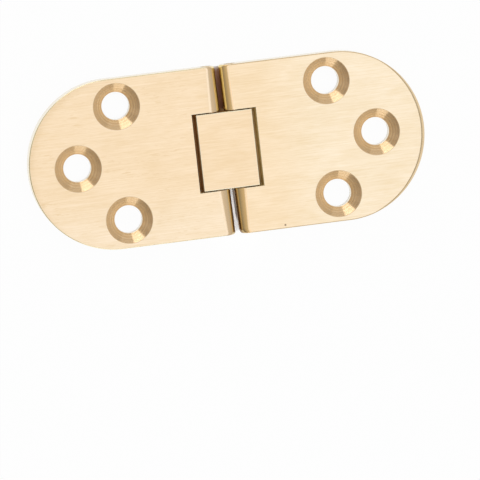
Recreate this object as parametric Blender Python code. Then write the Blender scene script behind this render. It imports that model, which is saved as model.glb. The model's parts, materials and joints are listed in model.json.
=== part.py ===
"""Half-round flap hinge with a centre link, machined from solid brass.

Two thick leaves lie end to end with their faces flush. Each has a half-round outer end, three
countersunk screw holes and a fully rounded inner edge. A square-ended link sits in a notch cut
through both inner edges. A pin runs across each leaf, through the middle of its rounded edge and
through the link, so each leaf turns a quarter turn on its own pin and the leaves close face to face.

The hinge lies open on its back: +X runs along it, +Y across it, +Z out of its screw-head side.
The origin is at the middle of the seam, on the back face.
"""

import math

import bmesh
import bpy

MM = 0.001

# Overall size, lying open
LENGTH = 80.0 * MM
WIDTH = 34.0 * MM
THICKNESS = 4.0 * MM
SEAM_GAP = 0.8 * MM

# Link, and the room it has in its notch
LINK_WIDTH = 15.4 * MM
LINK_OVERHANG = 3.25 * MM
LINK_SIDE_GAP = 0.2 * MM
LINK_SWING_GAP = 0.25 * MM

# Pins, a little short of the leaf's side edges
PIN_DIAMETER = 2.0 * MM
PIN_CLEARANCE = 0.1 * MM
PIN_SET_IN = 0.1 * MM

# Countersunk screw holes: one near the rounded end, a pair nearer the seam
SCREW_HOLE_DIAMETER = 5.6 * MM
COUNTERSINK_DIAMETER = 9.4 * MM
COUNTERSINK_ANGLE = math.radians(90)
END_HOLE_INSET = 9.8 * MM
HOLE_STAGGER = 9.0 * MM
SIDE_HOLE_INSET = 5.6 * MM

# Broken edges
EDGE_BREAK = 0.2 * MM
LINK_EDGE_BREAK = 0.15 * MM
NOTCH_EDGE_BREAK = 0.12 * MM
RIM_EDGE_BREAK = 0.12 * MM
BORE_EDGE_BREAK = 0.15 * MM
PIN_EDGE_BREAK = 0.2 * MM

# Hand-dressed bevel round each outer end, widest at one point and dying out along the arc
LEFT_TIP_BEVEL = 0.42 * MM
RIGHT_TIP_BEVEL = 0.8 * MM
LEFT_TIP_LEAN = math.radians(0)
RIGHT_TIP_LEAN = math.radians(-9)
TIP_BEVEL_REACH = math.radians(76)

# Hand-filed inner edges, both a little out of square in the same way. Their rounding reaches back
# this far from the tip: at the -Y side, on each side of the link, and at the +Y side
SEAM_OUT_OF_SQUARE = math.radians(1.0)
LEFT_NOSE_REACH = (2.05 * MM, 2.65 * MM, 2.3 * MM, 1.9 * MM)
RIGHT_NOSE_REACH = (1.9 * MM, 2.3 * MM, 1.9 * MM, 1.8 * MM)
SEAM_CORNER_RADIUS = 0.5 * MM
SLANTED_CORNER_LENGTH = 1.1 * MM

# Smoothness of the round forms
END_STEPS = 60
NOSE_STEPS = 20
CORNER_STEPS = 3
HOLE_STEPS = 56
PIN_STEPS = 28

# Cutters run this far past the metal that they cut
CUT_MARGIN = 1.0 * MM

# Where the pivots are, and how much room the link's corners need as they turn
NOSE_RADIUS = THICKNESS / 2
PIN_AXIS_X = SEAM_GAP / 2 + NOSE_RADIUS
PIN_AXIS_Z = THICKNESS / 2
PIN_SPACING = 2 * PIN_AXIS_X
LINK_LENGTH = PIN_SPACING + 2 * LINK_OVERHANG
LINK_SWEEP = math.hypot(LINK_OVERHANG, THICKNESS / 2)
NOTCH_END = LINK_SWEEP + LINK_SWING_GAP
NOTCH_HALF_WIDTH = LINK_WIDTH / 2 + LINK_SIDE_GAP
PIN_BORE_RADIUS = PIN_DIAMETER / 2 + PIN_CLEARANCE

# Half-round end, measured from the leaf's own pin
LEAF_REACH = LENGTH / 2 - PIN_AXIS_X
END_RADIUS = WIDTH / 2
END_CENTRE = LEAF_REACH - END_RADIUS


def clear_scene():
    """Empty the file of objects."""
    for thing in list(bpy.data.objects):
        bpy.data.objects.remove(thing, do_unlink=True)


def brass(name, colour, roughness):
    """A metal finish of one colour and one roughness."""
    material = bpy.data.materials.new(name)
    material.use_nodes = True
    shader = material.node_tree.nodes["Principled BSDF"]
    shader.inputs["Base Color"].default_value = (*colour, 1.0)
    shader.inputs["Metallic"].default_value = 1.0
    shader.inputs["Roughness"].default_value = roughness
    material.diffuse_color = (*colour, 1.0)
    return material


def new_object(name, bm, material=None):
    """Turn a finished bmesh into an object, with its round faces shaded smooth."""
    bmesh.ops.recalc_face_normals(bm, faces=bm.faces)
    mesh = bpy.data.meshes.new(name)
    bm.to_mesh(mesh)
    bm.free()
    mesh.shade_smooth()
    mesh.set_sharp_from_angle(angle=math.radians(30))
    thing = bpy.data.objects.new(name, mesh)
    bpy.context.scene.collection.objects.link(thing)
    if material is not None:
        mesh.materials.append(material)
    return thing


def cutter(name, bm, parent):
    """A shape that is taken away from its parent, kept in view as wire only."""
    thing = new_object(name, bm)
    thing.display_type = "WIRE"
    thing.hide_render = True
    thing.parent = parent
    return thing


def cut(body, tool):
    """Take a cutter's shape out of a body."""
    modifier = body.modifiers.new(tool.name, "BOOLEAN")
    modifier.operation = "DIFFERENCE"
    modifier.solver = "EXACT"
    modifier.object = tool


def skin(bm, loops):
    """Join loops of equally many points into a closed body, with a flat face at each end."""
    rings = [[bm.verts.new(point) for point in loop] for loop in loops]
    for lower, upper in zip(rings, rings[1:]):
        for index in range(len(lower)):
            following = (index + 1) % len(lower)
            bm.faces.new((lower[index], lower[following], upper[following], upper[index]))
    bm.faces.new(rings[0])
    bm.faces.new(rings[-1])


def turned(profile, steps, place):
    """A body turned from (radius, height) points, standing at a place on its own Z axis."""
    across, along = place
    loops = []
    for radius, height in profile:
        turns = [math.tau * step / steps for step in range(steps)]
        loops.append([
            (across + radius * math.cos(turn), along + radius * math.sin(turn), height)
            for turn in turns
        ])
    bm = bmesh.new()
    skin(bm, loops)
    return bm


def tip_bevel(angle, widest, lean):
    """How wide the top bevel is at an angle round the half-round end."""
    away = math.cos(angle - lean) - math.cos(TIP_BEVEL_REACH)
    dressed = widest * away / (1 - math.cos(TIP_BEVEL_REACH))
    return max(EDGE_BREAK, dressed)


def wall_at(level, bevel):
    """How far the outline is drawn in, and how high it stands, at one level of a leaf.

    Level 0 is the back face and NOSE_STEPS the front face. Both are drawn in by their bevels,
    and the levels between share out the upright wall.
    """
    if level == 0:
        return EDGE_BREAK, -THICKNESS / 2
    if level == NOSE_STEPS:
        return bevel, THICKNESS / 2
    foot = -THICKNESS / 2 + EDGE_BREAK
    brow = THICKNESS / 2 - bevel
    return 0.0, foot + (brow - foot) * (level - 1) / (NOSE_STEPS - 2)


def outer_points(level, leaf):
    """One level of the outline from the -Y side, round the outer end, to the +Y side."""
    inset, height = wall_at(level, EDGE_BREAK)
    points = [(PIN_AXIS_X, -(END_RADIUS - inset), height)]
    for step in range(END_STEPS + 1):
        angle = math.pi * (step / END_STEPS - 0.5)
        arc_inset, arc_height = wall_at(level, tip_bevel(angle, leaf["bevel"], leaf["lean"]))
        radius = END_RADIUS - arc_inset
        x = END_CENTRE + radius * math.cos(angle)
        points.append((x, radius * math.sin(angle), arc_height))
    points.append((PIN_AXIS_X, END_RADIUS - inset, height))
    return points


def nose_reach(y, reaches):
    """How far back from its tip the inner edge is rounded, at a place across the leaf."""
    low_side, low_link, high_link, high_side = reaches
    beside_link = NOTCH_HALF_WIDTH
    if abs(y) <= beside_link:
        share = (y / beside_link + 1) / 2
        return low_link + (high_link - low_link) * share
    share = (abs(y) - beside_link) / (END_RADIUS - beside_link)
    near, far = (low_link, low_side) if y < 0 else (high_link, high_side)
    return near + (far - near) * share


def seam_points(level, leaf):
    """One level of the rounded inner edge, from +Y back to -Y, with its two corners eased."""
    turn = math.pi * level / NOSE_STEPS
    height = -NOSE_RADIUS * math.cos(turn)
    inset, _ = wall_at(level, EDGE_BREAK)

    def edge_x(y):
        tip = -NOSE_RADIUS - leaf["outward"] * math.tan(SEAM_OUT_OF_SQUARE) * y
        return tip + nose_reach(y, leaf["reaches"]) * (1 - math.sin(turn))

    def corner(side, length):
        points = []
        for step in range(CORNER_STEPS + 1):
            angle = math.pi / 2 * step / CORNER_STEPS
            y = side * (END_RADIUS - inset - length * (1 - math.cos(angle)))
            x = edge_x(y) + SEAM_CORNER_RADIUS * (1 - math.sin(angle))
            points.append((x, y, height))
        return points

    bend = NOTCH_HALF_WIDTH + NOTCH_EDGE_BREAK * 4
    bends = [(edge_x(y), y, height) for y in (bend, -bend)]
    low_corner = corner(-1, leaf["low_corner"])
    return corner(1, SEAM_CORNER_RADIUS) + bends + low_corner[::-1]


def leaf_blank(leaf):
    """A leaf before it is cut, drawn from its own pin's axis with the half-round end at +X."""
    bm = bmesh.new()
    levels = range(NOSE_STEPS + 1)
    skin(bm, [outer_points(level, leaf) + seam_points(level, leaf) for level in levels])
    return bm


def notch_shape():
    """The link's notch, flared where it meets both faces so that its edges are broken."""
    half = THICKNESS / 2
    heights = (
        (-half - CUT_MARGIN, NOTCH_EDGE_BREAK + CUT_MARGIN),
        (-half + NOTCH_EDGE_BREAK, 0.0),
        (half - NOTCH_EDGE_BREAK, 0.0),
        (half + CUT_MARGIN, NOTCH_EDGE_BREAK + CUT_MARGIN),
    )
    start = -NOSE_RADIUS - CUT_MARGIN
    loops = []
    for height, flare in heights:
        end = NOTCH_END + flare
        side = NOTCH_HALF_WIDTH + flare
        loops.append([
            (start, -side, height),
            (end, -side, height),
            (end, side, height),
            (start, side, height),
        ])
    bm = bmesh.new()
    skin(bm, loops)
    return bm


def countersink_profile():
    """Radius and height of a screw hole's cutter, from under the back to above the front."""
    half = THICKNESS / 2
    hole = SCREW_HOLE_DIAMETER / 2
    mouth = COUNTERSINK_DIAMETER / 2
    mouth_height = half - RIM_EDGE_BREAK / 2
    cone_height = (mouth - hole) / math.tan(COUNTERSINK_ANGLE / 2)
    return (
        (hole + BORE_EDGE_BREAK + CUT_MARGIN, -half - CUT_MARGIN),
        (hole, -half + BORE_EDGE_BREAK),
        (hole, mouth_height - cone_height),
        (mouth, mouth_height),
        (mouth + RIM_EDGE_BREAK + 2 * CUT_MARGIN, half + CUT_MARGIN),
    )


def screw_places():
    """Centres of the three screw holes, measured from the leaf's own pin."""
    end = LEAF_REACH - END_HOLE_INSET
    pair = end - HOLE_STAGGER
    side = WIDTH / 2 - SIDE_HOLE_INSET
    return ((pair, side), (end, 0.0), (pair, -side))


def rod(radius, length, steps):
    """A plain round rod that lies along Y, centred on the origin."""
    bm = bmesh.new()
    bmesh.ops.create_cone(
        bm, cap_ends=True, segments=steps, radius1=radius, radius2=radius, depth=length
    )
    for vert in bm.verts:
        x, y, z = vert.co
        vert.co = (x, z, -y)
    return bm


def mirrored(bm, outward):
    """The same body, turned to the other side of the pin when outward is -1."""
    for vert in bm.verts:
        vert.co.x *= outward
    return bm


def build_leaf(name, shape, material):
    """One leaf, its origin on its pin's axis, reaching outward along +X or -X."""
    outward = shape["outward"]
    leaf = new_object(name, mirrored(leaf_blank(shape), outward), material)
    cut(leaf, cutter(name + "_notch", mirrored(notch_shape(), outward), leaf))
    bore = rod(PIN_BORE_RADIUS, WIDTH + 2 * CUT_MARGIN, PIN_STEPS)
    cut(leaf, cutter(name + "_pin_bore", bore, leaf))
    for number, place in enumerate(screw_places(), start=1):
        hole = mirrored(turned(countersink_profile(), HOLE_STEPS, place), outward)
        cut(leaf, cutter(f"{name}_screw_hole_{number}", hole, leaf))
    return leaf


def build_link(material):
    """The square-ended link, its origin on the left pin, where it turns in the left leaf."""
    bm = bmesh.new()
    bmesh.ops.create_cube(bm, size=1.0)
    for vert in bm.verts:
        vert.co.x = vert.co.x * LINK_LENGTH + PIN_AXIS_X
        vert.co.y *= LINK_WIDTH
        vert.co.z *= THICKNESS
    bmesh.ops.bevel(
        bm, geom=bm.edges[:], offset=LINK_EDGE_BREAK, segments=2, profile=0.5, affect="EDGES"
    )
    link = new_object("link", bm, material)
    for side, along in (("left", 0.0), ("right", PIN_SPACING)):
        bore = rod(PIN_BORE_RADIUS, LINK_WIDTH + 2 * CUT_MARGIN, PIN_STEPS)
        tool = cutter(f"link_{side}_bore", bore, link)
        tool.location.x = along
        cut(link, tool)
    return link


def build_pin(name, material):
    """One pin, its origin on its own axis, with both ends just inside the side edges."""
    bm = rod(PIN_DIAMETER / 2, WIDTH - 2 * PIN_SET_IN, PIN_STEPS)
    rims = [edge for edge in bm.edges if math.isclose(edge.verts[0].co.y, edge.verts[1].co.y)]
    bmesh.ops.bevel(
        bm, geom=rims, offset=PIN_EDGE_BREAK, segments=1, profile=0.5, affect="EDGES"
    )
    return new_object(name, bm, material)


def hang(child, parent, along):
    """Carry a piece on another, its origin this far along from the other's origin."""
    child.parent = parent
    child.location = (along, 0, 0)


def main():
    """Build the five pieces and hang each on the one that carries it.

    Turning link about its Y axis folds it up out of the left leaf, and turning right_leaf about
    its Y axis folds it up about the link. Each pin stays in the leaf that it is pressed into.
    """
    clear_scene()
    left_brass = brass("satin_brass_left", (0.93, 0.72, 0.48), 0.32)
    right_brass = brass("satin_brass_right", (0.93, 0.76, 0.54), 0.32)
    left_shape = {
        "outward": -1,
        "bevel": LEFT_TIP_BEVEL,
        "lean": LEFT_TIP_LEAN,
        "reaches": LEFT_NOSE_REACH,
        "low_corner": SEAM_CORNER_RADIUS,
    }
    right_shape = {
        "outward": 1,
        "bevel": RIGHT_TIP_BEVEL,
        "lean": RIGHT_TIP_LEAN,
        "reaches": RIGHT_NOSE_REACH,
        "low_corner": SLANTED_CORNER_LENGTH,
    }
    left_leaf = build_leaf("left_leaf", left_shape, left_brass)
    right_leaf = build_leaf("right_leaf", right_shape, right_brass)
    link = build_link(brass("satin_brass_link", (0.93, 0.74, 0.50), 0.30))
    left_pin = build_pin("left_pin", brass("left_pin_brass", (0.80, 0.62, 0.38), 0.25))
    right_pin = build_pin("right_pin", brass("right_pin_brass", (0.80, 0.62, 0.38), 0.25))

    left_leaf.location = (-PIN_AXIS_X, 0, PIN_AXIS_Z)
    hang(left_pin, left_leaf, 0)
    hang(link, left_leaf, 0)
    hang(right_leaf, link, PIN_SPACING)
    hang(right_pin, right_leaf, 0)


main()
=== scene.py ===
# %% [markdown]
# # A half-round flap hinge in satin brass
#
# Two thick brass leaves lie end to end, and a square-ended link turns between them on two hidden pins.
# The solids that carry the sizes and the motion are already made. This lesson gives the hinge its looks:
# each piece is modelled again with fine, rounded edges, in exactly the same place, and then finished.
#
# The first step loads the imported model. Nothing made later may leave it.

# %% Load the imported model
import json
import math
import random

import bmesh
import bpy
from mathutils import Matrix, Vector


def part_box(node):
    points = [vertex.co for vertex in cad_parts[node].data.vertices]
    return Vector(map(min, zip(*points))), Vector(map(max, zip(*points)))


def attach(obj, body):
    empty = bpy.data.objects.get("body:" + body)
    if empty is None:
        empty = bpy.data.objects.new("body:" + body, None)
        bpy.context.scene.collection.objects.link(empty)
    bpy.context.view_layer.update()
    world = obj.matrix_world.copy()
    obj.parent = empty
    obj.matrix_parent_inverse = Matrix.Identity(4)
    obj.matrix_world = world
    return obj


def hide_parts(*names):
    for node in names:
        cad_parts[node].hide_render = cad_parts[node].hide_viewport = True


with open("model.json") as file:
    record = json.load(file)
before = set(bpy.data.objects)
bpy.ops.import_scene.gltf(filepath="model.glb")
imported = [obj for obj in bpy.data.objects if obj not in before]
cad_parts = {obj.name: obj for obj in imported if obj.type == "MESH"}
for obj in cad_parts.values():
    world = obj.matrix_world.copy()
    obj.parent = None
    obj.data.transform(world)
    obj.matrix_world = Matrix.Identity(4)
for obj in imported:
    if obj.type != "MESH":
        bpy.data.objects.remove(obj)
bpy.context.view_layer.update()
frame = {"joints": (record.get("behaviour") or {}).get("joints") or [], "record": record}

# %% [markdown]
# ## Sizes
#
# A good habit is to read a size from the model wherever the model knows it. The boxes of the leaf, the
# link and the pin give the plate's thickness, the half-round end and the link. The joint between link
# and right leaf says how far from the middle the pins are.

# %% Read the overall sizes
MM = 0.001
leaf_low, leaf_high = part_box("right_leaf")
link_low, link_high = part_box("link")
pin_low, pin_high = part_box("right_pin")
right_pivot = next(joint for joint in frame["joints"] if joint["name"] == "right_pivot")

THICKNESS = leaf_high.z - leaf_low.z
WIDTH = leaf_high.y - leaf_low.y
PIN_X = right_pivot["pos_m"][0]
MIDDLE_Z = (leaf_low.z + leaf_high.z) / 2
LEAF_REACH = leaf_high.x - PIN_X
END_RADIUS = WIDTH / 2
END_CENTRE = LEAF_REACH - END_RADIUS
LINK_LENGTH = link_high.x - link_low.x
LINK_WIDTH = link_high.y - link_low.y
PIN_RADIUS = (pin_high.z - pin_low.z) / 2
PIN_LENGTH = pin_high.y - pin_low.y
HALF = THICKNESS / 2
print(f"leaf {THICKNESS / MM:.1f} thick, {WIDTH / MM:.1f} wide, pin at {PIN_X / MM:.2f}, "
      f"link {LINK_LENGTH / MM:.1f} by {LINK_WIDTH / MM:.1f}")

# %% [markdown]
# ## Sizes that the boxes don't show
#
# The rest is written here in millimetres: the play that lets the pieces turn, the screw holes and how
# they are set out, and how wide the edges are broken. A broken edge is one that has lost its sharpness,
# to a file or to emery. The notch's length follows from the circle that the link's corners sweep.

# %% Write down gaps, holes and broken edges
SEAM_GAP = 0.8 * MM
SEAM_OUT_OF_SQUARE = math.radians(1.0)
LINK_SIDE_GAP = 0.2 * MM
LINK_SWING_GAP = 0.25 * MM
PIN_CLEARANCE = 0.1 * MM
SCREW_HOLE_RADIUS = 2.8 * MM
COUNTERSINK_RADIUS = 4.7 * MM
END_HOLE_INSET = 9.8 * MM
HOLE_STAGGER = 9.0 * MM
SIDE_HOLE_INSET = 5.6 * MM
EDGE_BREAK = 0.2 * MM
LIP_BREAK = 0.12 * MM
CONE_RADIUS = COUNTERSINK_RADIUS - LIP_BREAK / 2
LINK_EDGE_BREAK = 0.15 * MM
TIP_BEVEL_REACH = math.radians(76)

NOSE_TIP = PIN_X - SEAM_GAP / 2
LINK_OVERHANG = LINK_LENGTH / 2 - PIN_X
NOTCH_END = math.hypot(LINK_OVERHANG, HALF) + LINK_SWING_GAP
NOTCH_HALF_WIDTH = LINK_WIDTH / 2 + LINK_SIDE_GAP
PIN_BORE_RADIUS = PIN_RADIUS + PIN_CLEARANCE
print(f"the notch ends {NOTCH_END / MM:.2f} from the pin")

# %% [markdown]
# ## What differs between the two leaves
#
# The leaves were finished by hand, so they aren't quite alike. The bevel round the right end is three
# times as wide as that of the left end and leans to one side. The rounding of each seam edge is drawn
# out more in some places than in others: its reach is given in millimetres at four places across the
# leaf. One corner of the right leaf was filed away at a slant. A table with plain values for each leaf
# keeps such facts apart from the code that draws them. Upper and lower mean towards +Y and -Y, as on a
# drawing seen from above.

# %% Hand-finished shapes
LEAVES = {
    "left": {
        "outward": -1,
        "tip_bevel": 0.26 * MM,
        "tip_lean": math.radians(0),
        "nose_reach": ((-17.0, 2.05), (-7.9, 2.65), (7.9, 2.3), (17.0, 1.9)),
        "lower_corner": (0.5 * MM, 0.5 * MM),
        "upper_corner": (0.5 * MM, 0.5 * MM),
    },
    "right": {
        "outward": 1,
        "tip_bevel": 0.8 * MM,
        "tip_lean": math.radians(-9),
        "nose_reach": ((-17.0, 1.9), (-7.9, 2.3), (7.9, 1.9), (17.0, 1.8)),
        "lower_corner": (0.5 * MM, 1.1 * MM),
        "upper_corner": (0.5 * MM, 0.5 * MM),
    },
}

# %% [markdown]
# ## Finishes and where they go
#
# A leaf isn't one even surface. Its faces are brushed, its rounded seam edge and dressed rim were
# smoothed, and the countersinks were turned with a cutter. Every mesh below carries the same list of
# finishes, so a face only has to say which number in the list it wears. The cutters for holes and notch
# carry the list too: the surface that a cutter leaves behind wears the cutter's finish.

# %% The finishes of a piece, by number
FINISHES = ("face", "rim", "wall", "nose", "countersink", "hole", "notch", "lip")
WEARS = {finish: number for number, finish in enumerate(FINISHES)}
print("finishes:", ", ".join(f"{number} {finish}" for finish, number in WEARS.items()))

# %% [markdown]
# ## A skin over rings of points
#
# Many turned and milled parts can be drawn as a stack of closed rings, like contour lines, with a strip
# of faces between each two. That is all this helper does. The top and bottom rings are closed with one
# flat face each, because a real plate's face is one true plane.

# %% Skin a stack of rings
def skin(rings, strip_finish, end_finish):
    """A closed bmesh over rings of equally many points."""
    bm = bmesh.new()
    loops = [[bm.verts.new(point) for point in points] for points in rings]
    for level, (lower, upper) in enumerate(zip(loops, loops[1:])):
        for column in range(len(lower)):
            after = (column + 1) % len(lower)
            face = bm.faces.new((lower[column], lower[after], upper[after], upper[column]))
            face.material_index = WEARS[strip_finish(level, column)]
    for loop in (loops[0], loops[-1]):
        bm.faces.new(loop).material_index = WEARS[end_finish]
    return bm


# %% [markdown]
# ## From a drawing to a piece in its place
#
# A leaf is drawn about the axis of its own pin, with its outer end towards +X. On its way to an object
# the drawing is moved out to the pin, and mirrored for the left side. The normals are made to look
# outward afterwards, because mirroring a drawing turns its faces inside out.

# %% Put a drawing into the scene
def in_scene(name, data):
    """A new object for a mesh, a lamp or a camera, linked into the scene."""
    thing = bpy.data.objects.new(name, data)
    bpy.context.scene.collection.objects.link(thing)
    return thing


def as_object(name, bm, outward=1, pin_x=0.0):
    """Turn a bmesh drawn about a pin's axis into an object in its real place."""
    for vert in bm.verts:
        vert.co.x = outward * (vert.co.x + pin_x)
        vert.co.z += MIDDLE_Z
    bmesh.ops.recalc_face_normals(bm, faces=bm.faces)
    mesh = bpy.data.meshes.new(name)
    bm.to_mesh(mesh)
    bm.free()
    for _ in FINISHES:
        mesh.materials.append(None)
    return in_scene(name, mesh)


# %% [markdown]
# ## The wall and its broken edges
#
# Nobody leaves a sharp edge on a brass plate. Going up a leaf's wall, the edge first rounds out from
# the back, then runs straight up, and then goes in again over the bevel. A narrow bevel is round, as
# emery leaves it. A wide one is nearly flat, as a file leaves it. One function gives both, from how far
# up the wall we are.

# %% Profile of the upright wall
LEVELS = 48
BREAK_LEVELS = 7


def bevel_point(share, size):
    """How far in and how far up a bevel of this size has come, at a share of its way from 0 to 1."""
    turn = share * math.pi / 2
    roundness = EDGE_BREAK / size
    inward = share + (1 - math.cos(turn) - share) * roundness
    upward = share + (math.sin(turn) - share) * roundness
    return inward * size, upward * size


def wall_point(level, bevel):
    """Inset and height of the outer wall at one level, from the back face to the front face."""
    if level <= BREAK_LEVELS:
        inset, rise = bevel_point(1 - level / BREAK_LEVELS, EDGE_BREAK)
        return inset, -HALF + EDGE_BREAK - rise
    if level >= LEVELS - BREAK_LEVELS:
        share = (level - LEVELS + BREAK_LEVELS) / BREAK_LEVELS
        inset, rise = bevel_point(share, bevel)
        return inset, HALF - bevel + rise
    low = -HALF + EDGE_BREAK
    high = HALF - bevel
    return 0.0, low + (high - low) * (level - BREAK_LEVELS) / (LEVELS - 2 * BREAK_LEVELS)


def side_inset(height):
    """How far the straight side is drawn in at a height, where its edge is rounded."""
    above = max(0.0, abs(height) - (HALF - EDGE_BREAK))
    return EDGE_BREAK - math.sqrt(max(0.0, EDGE_BREAK ** 2 - above ** 2))


for width in (EDGE_BREAK, LEAVES["right"]["tip_bevel"]):
    inward, rise = bevel_point(0.5, width)
    print(f"halfway over a bevel of {width / MM:.1f}: {inward / MM:.3f} in and {rise / MM:.3f} up")

# %% [markdown]
# ## The half-round end
#
# From above the outer end is a true half circle. The bevel on it is widest at one point and dies out
# along the arc on both sides, which a raised cosine draws well. The seam edge is a full round, but the
# hand that smoothed it drew it out more in some places, so its reach is read from the leaf's table.

# %% Outline of a leaf at one level
END_STEPS = 128
CORNER_STEPS = 6
SEAM_STEPS = 16
SIDE_START = PIN_X    # how far past its pin a leaf's sides have come to their own profile


def tip_bevel(angle, leaf):
    """Width of the bevel at an angle round the half-round end."""
    away = math.cos(angle - leaf["tip_lean"]) - math.cos(TIP_BEVEL_REACH)
    return max(EDGE_BREAK, leaf["tip_bevel"] * away / (1 - math.cos(TIP_BEVEL_REACH)))


def nose_reach(y, leaf):
    """How far the seam edge's rounding reaches back from its tip, at a place across the leaf."""
    stops = leaf["nose_reach"]
    for (y0, reach0), (y1, reach1) in zip(stops, stops[1:]):
        if y / MM <= y1:
            share = max(0.0, (y / MM - y0) / (y1 - y0))
            return (reach0 + (reach1 - reach0) * share) * MM
    return stops[-1][1] * MM


def outer_points(level, leaf):
    """The outline at one level, from the -Y side, round the outer end, to the +Y side."""
    inset, height = wall_point(level, EDGE_BREAK)
    points = [(SIDE_START, inset - END_RADIUS, height)]
    for step in range(END_STEPS + 1):
        angle = math.pi * (step / END_STEPS - 0.5)
        arc_inset, arc_height = wall_point(level, tip_bevel(angle, leaf))
        radius = END_RADIUS - arc_inset
        points.append((END_CENTRE + radius * math.cos(angle), radius * math.sin(angle), arc_height))
    points.append((SIDE_START, END_RADIUS - inset, height))
    return points


def seam_points(level, leaf):
    """The rounded seam edge at one level, from +Y back to -Y, with both corners eased."""
    turn = math.pi * level / LEVELS
    height = -HALF * math.cos(turn)
    end_y = END_RADIUS - side_inset(height)

    def edge_x(y):
        tip = -NOSE_TIP - leaf["outward"] * math.tan(SEAM_OUT_OF_SQUARE) * y
        return tip + nose_reach(y, leaf) * (1 - math.sin(turn))

    def corner(side, size):
        for step in range(CORNER_STEPS + 1):
            angle = math.pi / 2 * step / CORNER_STEPS
            y = side * (end_y - size[1] * (1 - math.cos(angle)))
            yield edge_x(y) + size[0] * (1 - math.sin(angle)), y, height

    upper = list(corner(1, leaf["upper_corner"]))
    lower = list(corner(-1, leaf["lower_corner"]))
    top, bottom = upper[-1][1], lower[-1][1]
    middle = [top + (bottom - top) * step / SEAM_STEPS for step in range(1, SEAM_STEPS)]
    return upper + [(edge_x(y), y, height) for y in middle] + lower[::-1]


for side, leaf in LEAVES.items():
    print(f"{side} leaf: bevel {tip_bevel(0, leaf) / MM:.2f} wide at the end, "
          f"{len(outer_points(0, leaf)) + len(seam_points(0, leaf))} points in an outline")

# %% [markdown]
# ## A leaf before anything is cut
#
# A stack of outlines, one above the other, makes the blank. Its two faces are brushed. The strips of
# the outer outline are rim where the edge is broken and wall between. The strips of the seam edge are
# the nose, the part that was smoothed. The two strips that join them, beside the pin's ends, lie on the
# flat sides, so they are rim and wall as well.

# %% Skin a whole leaf
def leaf_blank(leaf):
    """A leaf as a stack of outlines: brushed faces, dressed rim, ground wall and rounded nose."""
    levels = range(LEVELS + 1)
    rings = [outer_points(level, leaf) + seam_points(level, leaf) for level in levels]
    seam_first = len(outer_points(0, leaf))
    seam_last = len(rings[0]) - 1

    def strip_finish(level, column):
        if seam_first <= column < seam_last:
            return "nose"
        on_wall = BREAK_LEVELS <= level < LEVELS - BREAK_LEVELS
        return "wall" if on_wall else "rim"

    return skin(rings, strip_finish, "face")


# %% [markdown]
# ## Cutters with rounded lips
#
# Holes and notches are cut from the blank with Boolean modifiers. A cut edge would be razor sharp, so
# each cutter flares out over a few small steps just below both faces. What it leaves is a rounded lip
# that catches the light, as a deburred edge does. The last step of the flare crosses the face at a
# slant, because a cutter that only touches a face gives a Boolean nothing to work with.

# %% Flare for a rounded lip
LIP_STEPS = 4
CUT_MARGIN = 0.6 * MM


def lip_flare(start_slope):
    """(outward, upward) steps of a lip from a slope to nearly level, ending a little above the face."""
    slopes = [start_slope * (1 - step / (LIP_STEPS + 1)) for step in range(1, LIP_STEPS + 1)]
    run = LIP_BREAK / LIP_STEPS
    outward, upward = 0.0, 0.0
    points = []
    for slope in slopes:
        outward += run * math.cos(slope)
        upward += run * math.sin(slope)
        points.append((outward, upward))
    drop = (points[-2][1] + points[-1][1]) / 2
    return [(out, up - drop) for out, up in points]


lip_sketch = [(round(out / MM, 3), round(up / MM, 3)) for out, up in lip_flare(math.radians(90))]
print("a lip, outward and up from the face:", *lip_sketch)

# %% [markdown]
# ## The countersunk screw hole
#
# The cutter for a screw hole is turned: a profile of radius and height, spun about the hole's axis. Up
# its cone it waves in and out by a few microns, since a spinning countersink leaves fine ridges. Each
# ridge comes out a little different, and a seeded draw makes that the same on every run.

# %% Cutter for a screw hole
HOLE_STEPS = 112
CONE_RIDGES = 26
STEPS_PER_RIDGE = 4
RIDGE_SLOPE = 0.33
RIDGE_VARIES = 0.1


def ring(radius, height, steps, centre=(0.0, 0.0)):
    """A level circle of points."""
    turns = [math.tau * step / steps for step in range(steps)]
    return [(centre[0] + radius * math.cos(t), centre[1] + radius * math.sin(t), height) for t in turns]


def turned_cone_profile(mouth, chance):
    """Radius and height up the cone, with the fine ridges that the spinning tool left."""
    cone_run = CONE_RADIUS - SCREW_HOLE_RADIUS
    steps = CONE_RIDGES * STEPS_PER_RIDGE
    ridge = cone_run * math.sqrt(2) / CONE_RIDGES
    points = []
    for step in range(steps + 1):
        if step % STEPS_PER_RIDGE == 0:
            draw = chance.uniform(1 - RIDGE_VARIES, 1 + RIDGE_VARIES)
            height = RIDGE_SLOPE * ridge / math.tau * draw
        wave = height * math.sin(math.tau * step / STEPS_PER_RIDGE) / math.sqrt(2)
        run = cone_run * step / steps
        points.append((SCREW_HOLE_RADIUS + run - wave, mouth - cone_run + run + wave))
    return points


def screw_hole_cutter(centre, chance):
    """A hole with a right-angled countersink and broken edges, open above and below."""
    lip = lip_flare(math.radians(45))
    back_lip = lip_flare(math.radians(90))
    profile = [(SCREW_HOLE_RADIUS + back_lip[-1][0], -HALF - CUT_MARGIN)]
    profile += [(SCREW_HOLE_RADIUS + out, -HALF - up) for out, up in reversed(back_lip)]
    profile += [(SCREW_HOLE_RADIUS, -HALF - back_lip[0][1] + LIP_BREAK / LIP_STEPS)]
    cone_level = len(profile)
    profile += turned_cone_profile(HALF + lip[0][1], chance)
    profile += [(CONE_RADIUS + out, HALF + up) for out, up in lip]
    profile += [(CONE_RADIUS + lip[-1][0], HALF + CUT_MARGIN)]

    def strip_finish(level, column):
        return "countersink" if level >= cone_level else "hole"

    rings = [ring(radius, height, HOLE_STEPS, centre) for radius, height in profile]
    return skin(rings, strip_finish, "hole")


print("points up a cone:", CONE_RIDGES * STEPS_PER_RIDGE + 1)

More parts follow.
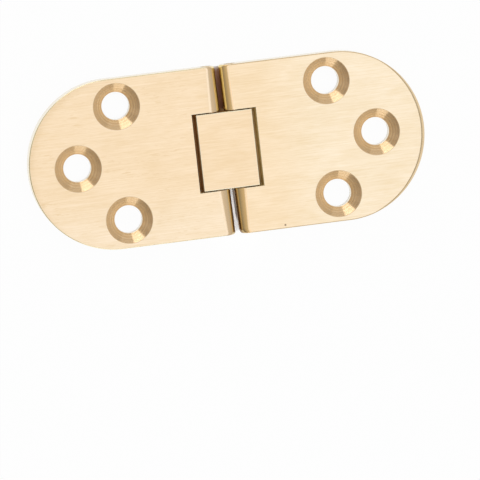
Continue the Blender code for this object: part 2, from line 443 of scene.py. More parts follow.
# %% [markdown]
# ## The notch and the bores
#
# The notch is a plain block with the same lips above and below. It is open towards the seam, so its
# cutter reaches past the nose. A bore is cut with a rod, and the pin itself is the same rod with a
# smaller radius and rounded rims, so one function makes both.

# %% Cutters for the notch and the bores
BORE_STEPS = 64
RIM_STEPS = 4


def notch_cutter():
    """The link's notch, open towards the seam."""
    lip = lip_flare(math.radians(90))
    flare = [(lip[-1][0], CUT_MARGIN)] + lip[::-1]
    wall = lip[0][1] - LIP_BREAK / LIP_STEPS
    below = [(out, -HALF - up) for out, up in flare] + [(0.0, -HALF - wall)]
    above = [(0.0, HALF + wall)] + [(out, HALF + up) for out, up in reversed(flare)]
    start = -NOSE_TIP - CUT_MARGIN
    rings = []
    for out, height in below + above:
        end = NOTCH_END + out
        side = NOTCH_HALF_WIDTH + out
        corners = ((start, -side), (end, -side), (end, side), (start, side))
        rings.append([(x, y, height) for x, y in corners])
    wall_level = len(below) - 1
    return skin(rings, lambda level, column: "notch" if level == wall_level else "lip", "lip")


def rod(radius, length, bevel, finish):
    """A round rod along Y, centred on the origin. Its rims are rounded if it has a bevel."""
    rim = [(0.0, 0.0)]
    if bevel:
        rim = [bevel_point(step / RIM_STEPS, bevel) for step in range(RIM_STEPS + 1)]
    near = [(radius - inward, bevel - rise - length / 2) for inward, rise in reversed(rim)]
    far = [(r, -along) for r, along in reversed(near)]
    rings = [[(x, along, z) for x, z, along in ring(r, along, BORE_STEPS)] for r, along in near + far]
    return skin(rings, lambda level, column: finish, finish)


print(f"bore {2 * PIN_BORE_RADIUS / MM:.1f} across for a pin of {2 * PIN_RADIUS / MM:.1f}")

# %% [markdown]
# ## Cutting
#
# The exact Boolean solver takes its time but doesn't mind faces that meet at a slant. After the cut the
# cutters are gone for good, so nothing hidden stays in the file.
#
# Shading comes last. Smooth shading alone would bend the light on a flat face near its rounded edges, so
# the normals are weighted by area: where a large flat face meets a small rounded one, the flat one wins.

# %% Cut, shade and settle a mesh
SHARP_ANGLE = math.radians(32)
LARGE_FACES_WIN = 100


def settle(piece):
    """Swap a piece's mesh for the one that its modifiers make of it."""
    graph = bpy.context.evaluated_depsgraph_get()
    settled = bpy.data.meshes.new_from_object(piece.evaluated_get(graph))
    piece.modifiers.clear()
    piece.data = settled


def carve(piece, cutters):
    """Take the cutters out of a piece, one after the other, and delete them."""
    for cutter in cutters:
        modifier = piece.modifiers.new(cutter.name, "BOOLEAN")
        modifier.operation = "DIFFERENCE"
        modifier.solver = "EXACT"
        modifier.object = cutter
    settle(piece)
    for cutter in cutters:
        bpy.data.objects.remove(cutter)


def smooth(piece):
    """Round faces shade smooth, real corners stay crisp and flat faces stay truly flat."""
    piece.data.shade_smooth()
    piece.data.set_sharp_from_angle(angle=SHARP_ANGLE)
    weighted = piece.modifiers.new("flat faces stay flat", "WEIGHTED_NORMAL")
    weighted.keep_sharp = True
    weighted.weight = LARGE_FACES_WIN
    settle(piece)
    print(f"{piece.name}: {len(piece.data.polygons)} faces")


# %% [markdown]
# ## Both leaves
#
# Each leaf takes three screws: one on the middle line near the end, and a pair further in. The blank,
# its notch, the three holes and the pin's bore are all drawn about the same pin, so they all get to
# their real place in the same way.

# %% Build both leaves
def screw_places():
    """Centres of the three screw holes, measured from the leaf's own pin."""
    end = LEAF_REACH - END_HOLE_INSET
    pair = end - HOLE_STAGGER
    side = END_RADIUS - SIDE_HOLE_INSET
    return (pair, side), (end, 0.0), (pair, -side)


def build_leaf(side, leaf):
    """One leaf in its real place, with its notch, its three holes and its pin's bore."""
    outward = leaf["outward"]
    piece = as_object(f"{side}_leaf_brushed", leaf_blank(leaf), outward, PIN_X)
    cutters = [as_object("notch", notch_cutter(), outward, PIN_X)]
    for number, centre in enumerate(screw_places(), start=1):
        chance = random.Random(10 * number + outward)
        cutters.append(as_object(f"hole {number}", screw_hole_cutter(centre, chance), outward, PIN_X))
    bore = rod(PIN_BORE_RADIUS, WIDTH + 2 * CUT_MARGIN, 0.0, "hole")
    cutters.append(as_object("bore", bore, outward, PIN_X))
    carve(piece, cutters)
    smooth(piece)
    return piece


leaf_pieces = {side: build_leaf(side, leaf) for side, leaf in LEAVES.items()}

# %% [markdown]
# ## The link and the pins
#
# The link is a plain block with softened edges and two bores. A bevelled cube is the quickest way to
# such a block, and its bevel gets enough segments to read as a rounded edge. Its two sawn ends are given
# different colours, painted light on the right one and painted shade on the left one, so the right one
# wears the notch's number, and the left one wears the wall's, as the sides do. The pins are drawn rods,
# a little shorter than the leaves are wide, so their ends sit just inside the hinge's sides.

# %% Build the link and both pins
LINK_EDGE_STEPS = 4


def link_finish(normal):
    """Which finish a side of the link wears, from the way it faces."""
    if normal.x > 0.9:
        return "notch"
    if abs(normal.z) > 0.99:
        return "face"
    return "lip" if abs(normal.z) > 0.1 else "wall"


def build_link():
    """The square-ended link, with a bore for each pin."""
    bm = bmesh.new()
    bmesh.ops.create_cube(bm, size=1.0)
    for vert in bm.verts:
        vert.co = (vert.co.x * LINK_LENGTH, vert.co.y * LINK_WIDTH, vert.co.z * THICKNESS)
    bmesh.ops.bevel(
        bm,
        geom=bm.edges[:],
        offset=LINK_EDGE_BREAK,
        segments=LINK_EDGE_STEPS,
        profile=0.5,
        affect="EDGES",
    )
    bm.normal_update()
    for face in bm.faces:
        face.material_index = WEARS[link_finish(face.normal)]
    piece = as_object("link_brushed", bm)
    cutters = []
    for outward in (-1, 1):
        bore = rod(PIN_BORE_RADIUS, LINK_WIDTH + 2 * CUT_MARGIN, 0.0, "hole")
        cutters.append(as_object(f"bore {outward}", bore, outward, PIN_X))
    carve(piece, cutters)
    smooth(piece)
    return piece


def build_pin(side, outward):
    """One pin on its axis."""
    bm = rod(PIN_RADIUS, PIN_LENGTH, EDGE_BREAK, "face")
    piece = as_object(f"{side}_pin_drawn", bm, outward, PIN_X)
    smooth(piece)
    return piece


link_piece = build_link()
pin_pieces = {side: build_pin(side, leaf["outward"]) for side, leaf in LEAVES.items()}

# %% [markdown]
# ## Arithmetic with nodes
#
# A procedural material is mostly sums: this noise times a tenth, one minus that mask. Drawn as nodes
# such sums are hard to read, so a small class wraps a node's output and lets Python's own signs add the
# Math nodes. Each sign has its reflected form too, so a plain number may stand on either side.

# %% A signal that can be reckoned with
class Signal:
    """A value on its way through a finish. Sums on it add the Math nodes that work them out."""

    def __init__(self, nodes, socket):
        self.nodes = nodes
        self.socket = socket

    def __add__(self, other):
        return self.nodes.math("ADD", self, other)

    def __radd__(self, other):
        return self.nodes.math("ADD", other, self)

    def __sub__(self, other):
        return self.nodes.math("SUBTRACT", self, other)

    def __rsub__(self, other):
        return self.nodes.math("SUBTRACT", other, self)

    def __mul__(self, other):
        return self.nodes.math("MULTIPLY", self, other)

    def __rmul__(self, other):
        return self.nodes.math("MULTIPLY", other, self)

    def __truediv__(self, other):
        return self.nodes.math("DIVIDE", self, other)

    def __rtruediv__(self, other):
        return self.nodes.math("DIVIDE", other, self)

    def __pow__(self, other):
        return self.nodes.math("POWER", self, other)

    def __rpow__(self, other):
        return self.nodes.math("POWER", other, self)

    def __abs__(self):
        return self.nodes.math("ABSOLUTE", self)

    def swing(self, size):
        """Noise from 0 to 1, made to swing this much about 0."""
        return (self - 0.5) * size


# %% [markdown]
# ## A tree of nodes in the making
#
# Everything but a sum is added by one method. It sets a node's settings first and then its inputs,
# because some settings change which inputs a node has. The rest of the class is what every finish asks
# for: how far out a place lies along a way, how far it is from a point, a mask between two marks, and
# two colours blended or multiplied. The room's light is made of nodes too, so it uses the same class.

# %% Nodes
BLACK = (0.0, 0.0, 0.0, 1.0)
WHITE = (1.0, 1.0, 1.0, 1.0)


class Nodes:
    """A tree of shader nodes, with its shader and the place that is being shaded."""

    def __init__(self, tree, shader, place):
        self.tree = tree
        self.shader = tree.nodes[shader]
        self.place = self.add("ShaderNodeTexCoord", output=place)

    def feed(self, socket, value):
        """Link a signal to a socket, or set the socket's own value."""
        if isinstance(value, Signal):
            self.tree.links.new(value.socket, socket)
        else:
            socket.default_value = value

    def add(self, kind, settings=None, inputs=None, output=0):
        """Add a node: its type, its settings, then its inputs. Gives one of its outputs."""
        node = self.tree.nodes.new(kind)
        for name, value in (settings or {}).items():
            setattr(node, name, value)
        for name, value in (inputs or {}).items():
            self.feed(node.inputs[name], value)
        return Signal(self, node.outputs[output])

    def math(self, operation, *values):
        """One step of arithmetic on values."""
        return self.add("ShaderNodeMath", {"operation": operation}, dict(enumerate(values)))

    def vector_math(self, operation, *vectors, output="Vector"):
        """One step of arithmetic on places or directions."""
        settings = {"operation": operation}
        return self.add("ShaderNodeVectorMath", settings, dict(enumerate(vectors)), output)

    def along(self, way):
        """How far out a place lies along a way."""
        return self.vector_math("DOT_PRODUCT", self.place, way, output="Value")

    def in_plan(self):
        """The place as seen from above, with its height left out."""
        return self.vector_math("MULTIPLY", self.place, (1, 1, 0))

    def distance(self, place, point):
        """How far a place lies from a point."""
        return self.vector_math("DISTANCE", place, point, output="Value")

    def between(self, signal, low, high):
        """0 below the low mark, 1 above the high mark and a smooth step between."""
        inputs = {"Value": signal, "From Min": low, "From Max": high}
        return self.add("ShaderNodeMapRange", {"interpolation_type": "SMOOTHSTEP"}, inputs)

    def blend(self, mask, colour, other):
        """The first colour where the mask is 0, and the other where it is 1."""
        settings = {"data_type": "RGBA", "clamp_factor": True}
        return self.add("ShaderNodeMix", settings, {0: mask, 6: colour, 7: other}, output=2)

    def multiplied(self, colour, other):
        """Two colours multiplied."""
        settings = {"data_type": "RGBA", "blend_type": "MULTIPLY"}
        return self.add("ShaderNodeMix", settings, {0: 1.0, 6: colour, 7: other}, output=2)


# %% [markdown]
# ## A finish in the making
#
# A finish is such a tree with a material round it. It adds noise with a grain, which is given as the
# size of its specks along X, Y and Z: long in one direction, it turns into lines. Brass is full metal
# nearly everywhere, so its colour is the colour of its reflections, and scratches come from a bump.

# %% Finishes of brass
MICRON = 1e-6


class Finish(Nodes):
    """A material in the making."""

    def __init__(self, name):
        self.material = bpy.data.materials.new(name)
        self.material.use_nodes = True
        super().__init__(self.material.node_tree, "Principled BSDF", "Object")

    def noise(self, grain, seed, detail=2.0, rough=0.5):
        """Noise from 0 to 1 with a grain of this size along X, Y and Z, in millimetres."""
        factors = tuple(1 / (size * MM) for size in grain)
        inputs = {"Vector": self.vector_math("MULTIPLY", self.place, factors), "W": seed,
                  "Scale": 1.0, "Detail": detail, "Roughness": rough}
        return self.add("ShaderNodeTexNoise", {"noise_dimensions": "4D"}, inputs)

    def tint(self, mask, colour):
        """Multiply the base colour by another where the mask is 1."""
        base = self.shader.inputs["Base Color"]
        below = Signal(self, base.links[0].from_socket)
        self.feed(base, self.blend(mask, below, self.multiplied(below, opaque(colour))))

    def brass(self, colour, roughness, height, depth, metallic=1.0):
        """Give the shader its colour and roughness, and relief that is this many metres deep."""
        self.feed(self.shader.inputs["Metallic"], metallic)
        self.feed(self.shader.inputs["Base Color"], colour)
        self.feed(self.shader.inputs["Roughness"], roughness)
        relief = {"Height": height, "Distance": depth, "Strength": 1.0}
        self.feed(self.shader.inputs["Normal"], self.add("ShaderNodeBump", inputs=relief))


def opaque(colour):
    """A colour with its alpha."""
    return (*colour, 1.0)


def shade(colour, factors):
    """A deeper or a paler shade of a colour, no brighter than white, with its alpha."""
    return opaque(min(1.0, channel * factor) for channel, factor in zip(colour, factors))


# %% [markdown]
# ## Brushed faces
#
# A belt with fine grit was run along each leaf. It leaves countless faint lines, so the light spreads
# across the grain and stays narrow along it. Noise drawn out along X gives the lines twice: very fine
# ones for the relief, and short, darker strokes where a coarser grain dug in. The strokes come in
# patches, and a slow, cloudy noise keeps a whole leaf from looking printed. Each leaf's colour also
# turns a little paler along one way, which is painted light: the left one towards its lower side, and
# the right one towards its outer end. The link is small and even, so both its colours are the same.

# %% Brushed brass
LINES_DULL = (0.925, 0.885, 0.80, 1.0)
LINES_BRIGHT = (1.05, 1.07, 1.12, 1.0)


def brushed_face(name, colour, pale, way, reach, contrast):
    """Satin brass with a grain along X, and painted light: paler along a way, palest from the reach on."""
    f = Finish(name)
    fine = f.noise((7.0, 0.09, 0.09), 1.0, detail=3.0)
    streaks = f.noise((2.4, 0.30, 0.30), 2.0, detail=4.0, rough=0.65)
    clouds = f.noise((6.0, 3.0, 3.0), 3.0)
    patches = f.noise((9.0, 6.0, 6.0), 6.0)
    strokes = f.between(streaks, 0.54, 0.70) * f.between(patches, 0.38, 0.60)
    tone = fine.swing(1.9) + streaks.swing(1.5) + clouds.swing(0.9) - strokes * contrast
    worn = f.blend(tone + 0.5, LINES_DULL, LINES_BRIGHT)
    # The paler colour along a way is painted light.
    painted_light_gradient = f.blend(f.between(f.along(way), 0.3 * reach, reach), opaque(colour), opaque(pale))
    f.brass(f.multiplied(painted_light_gradient, worn), 0.27 + streaks * 0.1, fine + streaks * 0.6, 4 * MICRON)
    return f


faces = {
    "left": brushed_face(
        "brushed left leaf",
        colour=(0.93, 0.74, 0.515),
        pale=(0.94, 0.775, 0.57),
        way=(0, -1, 0),
        reach=14.3 * MM,
        contrast=1.7,
    ),
    "right": brushed_face(
        "brushed right leaf",
        colour=(0.93, 0.745, 0.515),
        pale=(0.945, 0.80, 0.595),
        way=(1, 0, 0),
        reach=20 * MM,
        contrast=0.35,
    ),
    "link": brushed_face(
        "brushed link",
        colour=(0.92, 0.725, 0.495),
        pale=(0.92, 0.725, 0.495),
        way=(0, 1, 0),
        reach=WIDTH,
        contrast=0.45,
    ),
}
print("brushed:", *faces)

# %% [markdown]
# ## Turned countersinks
#
# The countersinking tool spins, so its marks are rings about the hole. Rings make the cone shine in
# wedges: the light spreads up and down the cone, but not round it. The distance from the nearest
# hole's axis is all that the rings need, and taking away the signs of X and Y folds six holes into two.

# %% Turned brass
RING_WIDTH = 0.24 * MM


def turned_cone(name, colour):
    """Bright cut brass with rings about each screw hole."""
    f = Finish(name)
    folded = f.vector_math("ABSOLUTE", f.in_plan())
    spans = [f.distance(folded, (x + PIN_X, y, 0.0)) for x, y in screw_places()[:2]]
    turns = f.math("MINIMUM", *spans) / RING_WIDTH
    rings = f.add("ShaderNodeTexNoise", {"noise_dimensions": "1D"},
                  {"W": turns, "Scale": 1.0, "Detail": 4.0, "Roughness": 0.7})
    deep = shade(colour, (0.82, 0.77, 0.70))
    pale = shade(colour, (1.12, 1.18, 1.26))
    f.brass(f.blend(0.5 + rings.swing(1.5), deep, pale), 0.10 + rings * 0.08, rings, 4 * MICRON)
    return f


countersink = turned_cone("turned countersink", (0.83, 0.62, 0.385))
print("turned:", countersink.material.name)

# %% [markdown]
# ## Ground walls, milled notches and drilled holes
#
# The outer wall was ground by the belt, so its lines run level round it. Holes and notch walls are left
# as the drill and the mill cut them. The walls and the holes are the palest brass here, and the notch
# with the link's ends is the deepest and dullest. Only colour, grain and shine differ between them, so
# one function makes them all.
#
# Beside the link light bounces several times from brass to brass, and each bounce deepens its colour.
# The notches and the link's right end are written paler than they look, which is painted light, and
# aren't wholly metal. The link's left end is written dark, which is painted shade. So the two gaps don't
# look alike: the left one is dark, and the right one is bright.

# %% Brass with a grain of its own
GROUND_BRASS = (0.94, 0.85, 0.68)
GROUND = 0.22
SAWN = 0.50


def worked_edge(name, colour, roughness, grain, depth, metallic=1.0):
    """Brass worked by hand or by a cutter, with a grain of this size along X, Y and Z."""
    f = Finish(name)
    lines = f.noise(grain, 4.0, detail=3.0, rough=0.6)
    clouds = f.noise((3.0, 3.0, 1.5), 5.0)
    tone = 0.5 + lines.swing(1.2) + clouds.swing(0.8)
    deep = shade(colour, (0.88, 0.84, 0.78))
    pale = shade(colour, (1.08, 1.12, 1.18))
    f.brass(f.blend(tone, deep, pale), roughness * (0.8 + lines * 0.4), lines, depth, metallic)
    return f


shared = {
    "rim": worked_edge("dressed rim", (0.80, 0.61, 0.37), GROUND, (4.0, 4.0, 0.1), 3 * MICRON),
    "wall": worked_edge("ground wall", GROUND_BRASS, GROUND, (5.0, 5.0, 0.08), 3 * MICRON),
    "countersink": countersink,
    "hole": worked_edge("drilled hole", GROUND_BRASS, GROUND, (0.8, 0.8, 0.12), 3 * MICRON),
    "notch": worked_edge("milled notch", (1.0, 0.78, 0.42), SAWN, (0.1, 0.1, 3.0), 5 * MICRON, 0.3),
    # The lips catch real light as rounded edges, and their pale colour adds a painted highlight.
    "lip": worked_edge("worn lip", (1.0, 0.90, 0.70), 0.25, (1.0, 1.0, 0.1), 1 * MICRON),
}
# The left rim is written paler than the right one: a painted highlight.
rims = {
    "left": worked_edge("left dressed rim", (0.97, 0.80, 0.52), GROUND, (4.0, 4.0, 0.1), 3 * MICRON),
    "right": shared["rim"],
}
# Both notches are written paler than brass: painted light.
notches = {
    "left": shared["notch"],
    "right": worked_edge("right notch", (1.0, 0.80, 0.43), SAWN, (0.1, 0.1, 3.0), 5 * MICRON, 0.1),
}
# The link's left end, and its sides with it, are dark: painted shade. Its right end is pale: painted
# light.
link_ends = {
    "wall": worked_edge("dark sawn link end", (0.62, 0.38, 0.16), SAWN, (0.1, 3.0, 0.1), 4 * MICRON, 0.4),
    "notch": worked_edge("pale sawn link end", (1.0, 0.80, 0.50), SAWN, (0.1, 3.0, 0.1), 4 * MICRON, 0.2),
}
print("shared by all pieces:", *shared)

# %% [markdown]
# ## Smoothed seam edges
#
# The rounded seam edges were smoothed lengthwise, along Y. They have a function of their own, because
# their colour changes on the way down: palest where the round meets the face, warmer over the brow and
# yellow on the flank. These bands by height, and the difference between the two leaves, are painted
# light and shade. Grime lies faintly between the lines everywhere. The steep flanks in the lower half of
# the seam are darkened, and most at the right leaf's lower corner: that darkening is painted shade.

# %% Rounded brass
CROWN = (3.93 * MM, 3.985 * MM)
BROW = (3.2 * MM, 3.8 * MM)
FLANK = (2.6 * MM, 3.8 * MM)
PAST_LINK = (7.5 * MM, 8.5 * MM)
CORNER = (12 * MM, 16.5 * MM)
LINES_GRIMY = (0.86, 0.83, 0.78, 1.0)
SEAM_FLANK_PAINTED_SHADE = (0.60, 0.50, 0.47)
NO_PAINTED_SHADE = (1.0, 1.0, 1.0)


def rounded_edge(name, crown, brow, flank, corner_painted_shade):
    """A smoothed seam edge: colours from the face down and darkened flanks, painted light and shade."""
    f = Finish(name)
    lines = f.noise((0.12, 8.0, 0.12), 4.0, detail=3.0, rough=0.6)
    height = f.along((0, 0, 1))
    # Colours by height over the round are painted light and shade.
    on_brow = f.between(height + lines.swing(0.3 * MM), *BROW)
    sides = f.blend(on_brow, opaque(flank), opaque(brow))
    colour = f.blend(f.between(height, *CROWN), sides, opaque(crown))
    grimy = f.blend(lines, LINES_GRIMY, WHITE)
    f.brass(f.multiplied(colour, grimy), 0.16 + lines * 0.1, lines, 2 * MICRON)
    # Darker steep flanks low in the seam and at the right leaf's lower corner: painted shade.
    steep = 1 - f.between(height, *FLANK)
    down = f.along((0, -1, 0))
    f.tint(steep * f.between(down, *PAST_LINK), SEAM_FLANK_PAINTED_SHADE)
    f.tint(steep * f.between(down, *CORNER), corner_painted_shade)
    return f


noses = {
    "left": rounded_edge(
        "left seam edge",
        crown=(0.96, 0.79, 0.59),
        brow=(0.90, 0.67, 0.42),
        flank=(0.96, 0.83, 0.51),
        corner_painted_shade=NO_PAINTED_SHADE,
    ),
    "right": rounded_edge(
        "right seam edge",
        crown=(0.98, 0.74, 0.48),
        brow=(1.0, 0.68, 0.31),
        flank=(0.92, 0.76, 0.41),
        corner_painted_shade=(0.55, 0.48, 0.44),
    ),
}
print("rounded:", *noses)

# %% [markdown]
# ## Two marks of wear
#
# Small marks tell one leaf from the other. The edge of the left leaf's half-round end is rubbed a little
# darker over a band that is off centre, and a small dark pit lies by the right leaf's lower edge. Both
# are masks on the distance from a point, as seen from above, and each tints a finish already made.

# %% Tint the marks of wear
RUBBED_FROM = (1.05 * MM - PIN_X - END_CENTRE, -0.6 * MM)
RUBBED_BAND = (16.3 * MM, 18.2 * MM)
RUBBED_END = (20 * MM, 28 * MM)
RUBBED_TINT = (0.92, 0.90, 0.86)
PIT = (9.8 * MM, -16.3 * MM)
PIT_EDGE = (0.1 * MM, 0.28 * MM)
PIT_TINT = (0.32, 0.28, 0.26)


def from_point(f, point):
    """How far a place lies from a point on the face, as seen from above."""
    return f.distance(f.in_plan(), (*point, 0))


left = faces["left"]
near_end = left.between(left.along((-1, 0, 0)), *RUBBED_END)
left.tint(near_end * left.between(from_point(left, RUBBED_FROM), *RUBBED_BAND), RUBBED_TINT)
right = faces["right"]
right.tint(1 - right.between(from_point(right, PIT), *PIT_EDGE), PIT_TINT)
print(f"pit {PIT[0] / MM:.1f} to the right of the seam")

# %% [markdown]
# ## Dress the pieces
#
# Each piece gets its list of finishes, rides on the body that it belongs to, and stands for the plain
# solid that it replaces. The pins are hardly seen, so they take their colour straight from the record.

# %% Put the finishes on
def dress(piece, body, node, slot, **own):
    """Give a piece its own finishes and the shared ones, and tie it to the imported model."""
    for name, number in WEARS.items():
        finish = own.get(name) or shared.get(name)
        piece.data.materials[number] = finish.material if finish else None
    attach(piece, body)
    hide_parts(node)
    print(f"{piece.name} rides on {body}")


for side, piece in leaf_pieces.items():
    own = {"face": faces[side], "nose": noses[side], "rim": rims[side], "notch": notches[side]}
    dress(piece, f"{side}_leaf", f"{side}_leaf", f"{side}_leaf_brass", **own)
dress(link_piece, "link", "link", "link_brass", face=faces["link"], **link_ends)

pin_brass = next(known for known in frame["record"]["materials"] if known["slot"] == "pin_brass")
pin_finish = worked_edge("drawn pin", pin_brass["base_color"], 0.25, (0.1, 6.0, 0.1), 2 * MICRON)
for side, piece in pin_pieces.items():
    dress(piece, f"{side}_leaf", f"{side}_pin", "pin_brass", face=pin_finish)

# %% [markdown]
# ## Floor
#
# The hinge lies on white paper. Paper that lies open to the sky glows by itself, so it comes out white
# without more light on the hinge. Ambient occlusion finds the paper that lies close beside the hinge or
# between the leaves. There the lamps alone light it, so the hinge keeps its shadow. Past the notch and
# past the hinge's sides the glow begins closer to the brass, so the screw holes show white and no dark
# line stands along the sides. In the gaps beside the link and in the upper half of the seam the paper's
# colour is painted shade and bounced light, brown as if all the light down there had come off the
# brass: darkest in the seam and palest in the right gap.
#
# The sheet's middle lies off to one side, because a square face is drawn as two triangles, and ambient
# occlusion can show the line where they meet.

# %% White paper
PAPER_WHITE = (0.95, 0.95, 0.95, 1.0)
SEAM_FLOOR_PAINTED_SHADE = (0.42, 0.20, 0.12, 1.0)
LEFT_GAP_PAINTED_SHADE = (0.70, 0.42, 0.18, 1.0)
RIGHT_GAP_PAINTED_BOUNCE = (1.0, 0.78, 0.45, 1.0)
SEAM_MIDDLE = (-1 * MM, 1 * MM)
PAST_NOTCH = (7.5 * MM, 9 * MM)
PAST_SIDE = (16.6 * MM, 16.8 * MM)
SHADE_REACH = 3.5 * MM
STAYS_WHITE = (0.32, 0.58)
STARTS_TO_GLOW = (0.48, 0.62)
SOONER_OUTSIDE = 0.4
GLOW = 0.96


def white_paper():
    """A matt white that glows where it lies open, with painted shade and bounce light in the hinge's gaps.
    """
    paper = Finish("white paper")
    paper.feed(paper.shader.inputs["Roughness"], 0.9)
    paper.feed(paper.shader.inputs["Specular IOR Level"], 0.0)
    reach = {"Distance": SHADE_REACH}
    open_sky = paper.add("ShaderNodeAmbientOcclusion", {"samples": 8}, reach, output="AO")
    rightward = paper.along((1, 0, 0))
    up = paper.along((0, 1, 0))
    down = paper.along((0, -1, 0))

    # Painted shade and bounced light for the paper in the gaps beside the link and in the upper seam.
    painted_shade_and_bounce_beside_link = paper.blend(paper.between(rightward, *SEAM_MIDDLE), LEFT_GAP_PAINTED_SHADE, RIGHT_GAP_PAINTED_BOUNCE)
    painted_shade_and_bounce_in_gaps = paper.blend(paper.between(up, *PAST_LINK), painted_shade_and_bounce_beside_link, SEAM_FLOOR_PAINTED_SHADE)
    in_open = paper.between(open_sky, *STAYS_WHITE)
    white = paper.math("MAXIMUM", in_open, paper.between(down, *PAST_LINK))
    paper.feed(paper.shader.inputs["Base Color"], paper.blend(white, painted_shade_and_bounce_in_gaps, PAPER_WHITE))

    past_notch = paper.between(abs(rightward), *PAST_NOTCH)
    outside = paper.math("MAXIMUM", past_notch, paper.between(abs(up), *PAST_SIDE))
    bright = paper.between(open_sky + outside * SOONER_OUTSIDE, *STARTS_TO_GLOW)
    kinds = ("Camera", "Glossy", "Transmission")
    seen = [paper.add("ShaderNodeLightPath", output=f"Is {kind} Ray") for kind in kinds]
    share = (seen[0] + seen[1] + seen[2]) * bright * GLOW
    glow = paper.add("ShaderNodeEmission", inputs={"Color": WHITE, "Strength": 1.0})
    lit = Signal(paper, paper.shader.outputs["BSDF"])
    surface = paper.add("ShaderNodeMixShader", inputs={0: share, 1: lit, 2: glow})
    paper.feed(paper.tree.nodes["Material Output"].inputs["Surface"], surface)
    return paper


FLOOR_SIZE = 4.0
FLOOR_MIDDLE = Vector((0.6, -0.6, 0))
FLOOR_DROP = 0.02 * MM
bpy.ops.mesh.primitive_plane_add(size=FLOOR_SIZE)
floor = bpy.context.object
floor.name = "paper"
floor.location.z = -FLOOR_DROP
for vert in floor.data.vertices:
    vert.co += FLOOR_MIDDLE
floor.data.materials.append(white_paper().material)
print(f"floor {FLOOR_DROP / MM:.2f} below the hinge")

# %% [markdown]
# ## Light
#
# Metal shows what stands round it. The broad softbox overhead lies where the camera's view bounces off
# the faces, which makes them bright, and it ends soon enough for the rounded edges to turn darker. Low
# softboxes in front and at the back draw the bright wedges in the countersinks, and two weak ones lift
# the grey beside the wedges. Each is given by its direction, its two sides in metres and how bright it
# looks.

# %% Softboxes
SOFTBOX_DISTANCE = 0.60
NEARLY_OVERHEAD = 0.9
VIEW_BOUNCED = (0.125, -0.116, 0.985)


def compass(azimuth, elevation):
    """A direction from its angle round from +X and its height above the floor, in degrees."""
    a, e = math.radians(azimuth), math.radians(elevation)
    return math.cos(a) * math.cos(e), math.sin(a) * math.cos(e), math.sin(e)


def softbox(name, direction, width, height, level):
    """A rectangular lamp of this brightness, turned to the hinge."""
    z = Vector(direction).normalized()
    sideways = Vector((1, 0, 0)) if z.z > NEARLY_OVERHEAD else Vector((0, 0, 1)).cross(z)
    y = z.cross(sideways.normalized()).normalized()
    x = y.cross(z)
    lamp = bpy.data.lights.new(name, "AREA")
    lamp.shape = "RECTANGLE"
    lamp.size = width
    lamp.size_y = height
    lamp.energy = level * math.pi * width * height
    thing = in_scene(name, lamp)
    turned = Matrix((x, y, z)).transposed().to_4x4()
    thing.matrix_world = Matrix.Translation(z * SOFTBOX_DISTANCE) @ turned
    thing.visible_camera = False
    print(f"{name}: {width:.2f} by {height:.2f} m at level {level}")


softbox("overhead", VIEW_BOUNCED, width=0.42, height=0.60, level=0.42)
softbox("back", compass(109, 18), width=0.36, height=0.30, level=1.60)
softbox("back fill", compass(72, 18), width=0.40, height=0.30, level=0.25)
softbox("front", compass(-99, 18), width=0.30, height=0.30, level=1.08)
softbox("left fill", compass(160, 18), width=0.20, height=0.30, level=0.10)

# %% [markdown]
# ## A spot along the seam
#
# White paper shows in the lower half of the seam, which is too narrow for the softboxes to light. A thin
# spot shines down there from the front, over about a centimetre. It is left out of reflections, so the
# brass beside the seam doesn't show it.

# %% A spot along the seam
SPOT_TARGET = Vector((0, -12.5 * MM, 0))
SPOT_DIRECTION = Vector(compass(-87, 35))
SPOT_DISTANCE = 0.5
SPOT_POWER = 9.8
SPOT_BEAM = math.radians(1.2)

spot = bpy.data.lights.new("along the seam", "SPOT")
spot.energy = SPOT_POWER
spot.spot_size = SPOT_BEAM
spot.spot_blend = 0.6
spot.shadow_soft_size = 4 * MM
seam_light = in_scene("along the seam", spot)
seam_light.rotation_mode = "QUATERNION"
seam_light.rotation_quaternion = SPOT_DIRECTION.to_track_quat("Z", "Y")
seam_light.location = SPOT_TARGET + SPOT_DIRECTION * SPOT_DISTANCE
seam_light.visible_glossy = False
print(f"the spot lights {2 * SPOT_DISTANCE * math.tan(SPOT_BEAM / 2) / MM:.1f} of the seam")

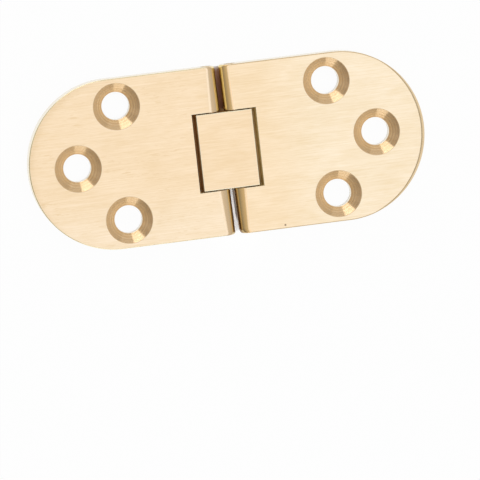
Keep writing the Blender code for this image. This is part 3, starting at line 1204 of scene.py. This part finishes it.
# %% [markdown]
# ## The room
#
# Where the brass mirrors no lamp it mirrors the room. That is a plain grey tent, dim near the floor and
# lighter overhead. Its right side is a little lighter than its left, and its front left corner is darker,
# which deepens the dark side of the countersinks.

# %% A grey tent
ROOM_LOW = 0.20
ROOM_OVERHEAD = 0.5
ROOM_RIGHT = 0.145
ROOM_CORNER = 0.08

room = bpy.data.worlds.new("light tent")
bpy.context.scene.world = room
room.use_nodes = True
tent = Nodes(room.node_tree, "Background", "Generated")
height = tent.math("MAXIMUM", tent.along((0, 0, 1)), 0.0)
dark_corner = tent.between(tent.along(compass(-142, 20)), 0.86, 0.97)
level = ROOM_LOW + ROOM_OVERHEAD * height ** 0.5
level = level + ROOM_RIGHT * tent.along((1, 0, 0)) - ROOM_CORNER * dark_corner
tent.feed(tent.shader.inputs["Color"], tent.blend(level, BLACK, WHITE))
print(f"room from {ROOM_LOW} at the floor to {ROOM_LOW + ROOM_OVERHEAD} overhead")

# %% [markdown]
# ## Camera
#
# The photograph was taken from far away with a long lens, almost straight down. The three angles say
# how the hinge lies turned in front of the camera, and the shift says how far its middle is from the
# middle of the picture.

# %% Place the camera
LENS = 358.3
SENSOR = 36.0
DISTANCE = 0.95369
TURNS = (("X", 5.80), ("Y", 7.92), ("Z", 6.45))
MIDDLE_FROM_AXIS = (-2.65 * MM, 18.07 * MM)
FARTHEST_SEEN = 20.0

turned = Matrix.Identity(3)
for axis, degrees in TURNS:
    turned = turned @ Matrix.Rotation(math.radians(degrees), 3, axis)
to_world = turned.transposed()
lens = bpy.data.cameras.new("camera")
lens.sensor_width = SENSOR
lens.lens = LENS
lens.clip_end = FARTHEST_SEEN
camera = in_scene("camera", lens)
back_off = Vector((-MIDDLE_FROM_AXIS[0], -MIDDLE_FROM_AXIS[1], DISTANCE))
place = Vector((0, 0, MIDDLE_Z)) + to_world @ back_off
camera.matrix_world = Matrix.Translation(place) @ to_world.to_4x4()
bpy.context.scene.camera = camera
bpy.context.scene.view_settings.view_transform = "Standard"
print(f"camera {DISTANCE:.2f} m away with a lens of {LENS:.0f} mm")
